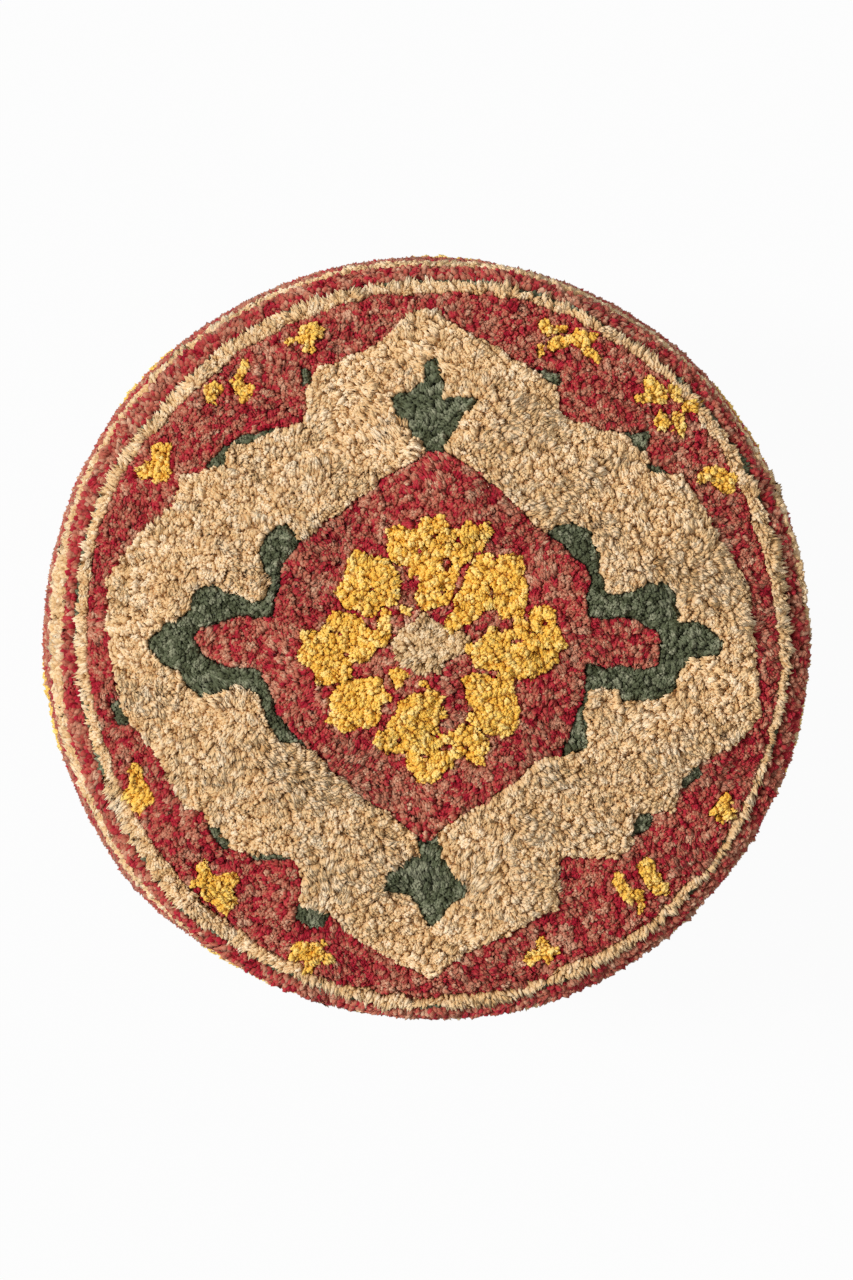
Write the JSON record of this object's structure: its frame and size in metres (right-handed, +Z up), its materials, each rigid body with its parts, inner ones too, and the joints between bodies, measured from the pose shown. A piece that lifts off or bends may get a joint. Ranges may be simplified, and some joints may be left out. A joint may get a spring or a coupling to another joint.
{
  "type": "pouf",
  "caption": "Round hand-tufted pouf with a carved flower-medallion top, striped and flowered pile wall, zipped canvas base and a separate filled insert.",
  "frame": {"origin": "on the floor, under the middle of the pouf", "axes": "+Z up; +Y towards the top of the picture's pattern, which is seen from above; +X to its right, where the zip closes"},
  "size_m": [0.5, 0.5, 0.35],
  "materials": {
    "red_pile": "cut pile, soft and matte",
    "cream_pile": "cut pile, soft and matte",
    "green_pile": "cut pile, soft and matte",
    "gold_pile": "cut pile, soft and matte",
    "oatmeal_pile": "cut pile, soft and matte",
    "backing_cloth": "plain weave, matte",
    "base_canvas": "plain weave canvas, matte",
    "zip_tape": "woven tape, matte",
    "zip_teeth": "moulded, satin",
    "zip_metal": "nickel plated, satin",
    "insert_cloth": "plain weave, matte",
    "fill": "soft loose fill"
  },
  "bodies": {
    "pouf": {"field_pile": "cream_pile", "medallion_pile": "red_pile", "petal_pile": "gold_pile", "flower_centre_pile": "oatmeal_pile", "leaf_north_pile": "green_pile", "leaf_south_pile": "green_pile", "leaf_east_pile": "green_pile", "leaf_west_pile": "green_pile", "edge_leaf_pile": "green_pile", "border_pile": "red_pile", "rosette_pile": "gold_pile", "rim_pile": "cream_pile", "top_backing": "backing_cloth", "seam_line_pile": "green_pile", "wall_top_band_pile": "red_pile", "wall_upper_stripe_pile": "cream_pile", "wall_field_pile": "red_pile", "wall_flower_pile": "gold_pile", "wall_lower_stripe_pile": "cream_pile", "wall_bottom_band_pile": "red_pile", "wall_backing": "backing_cloth", "base_panel_front": "base_canvas", "base_panel_back": "base_canvas", "zip_tape_front": "zip_tape", "zip_tape_back": "zip_tape", "zip_teeth_front": "zip_teeth", "zip_teeth_back": "zip_teeth", "zip_top_stops": "zip_metal", "zip_bottom_stop": "zip_metal", "insert_top": "insert_cloth", "insert_wall": "insert_cloth", "insert_base": "insert_cloth", "insert_fill": "fill"},
    "slider": {"zip_slider": "zip_metal"},
    "pull": {"zip_pull": "zip_metal"}
  },
  "joints": [
    {"name": "zip_slide", "type": "slide", "parent": "pouf", "child": "slider", "axis": [-1, 0, 0], "range_m": [0, 0.267], "deforming": ["zip_teeth_front", "zip_teeth_back"]},
    {"name": "pull_hinge", "type": "hinge", "parent": "slider", "child": "pull", "pos_m": [0.1377, 0, 0.00885], "axis": [0, -1, 0], "range_deg": [0, 175]}
  ]
}
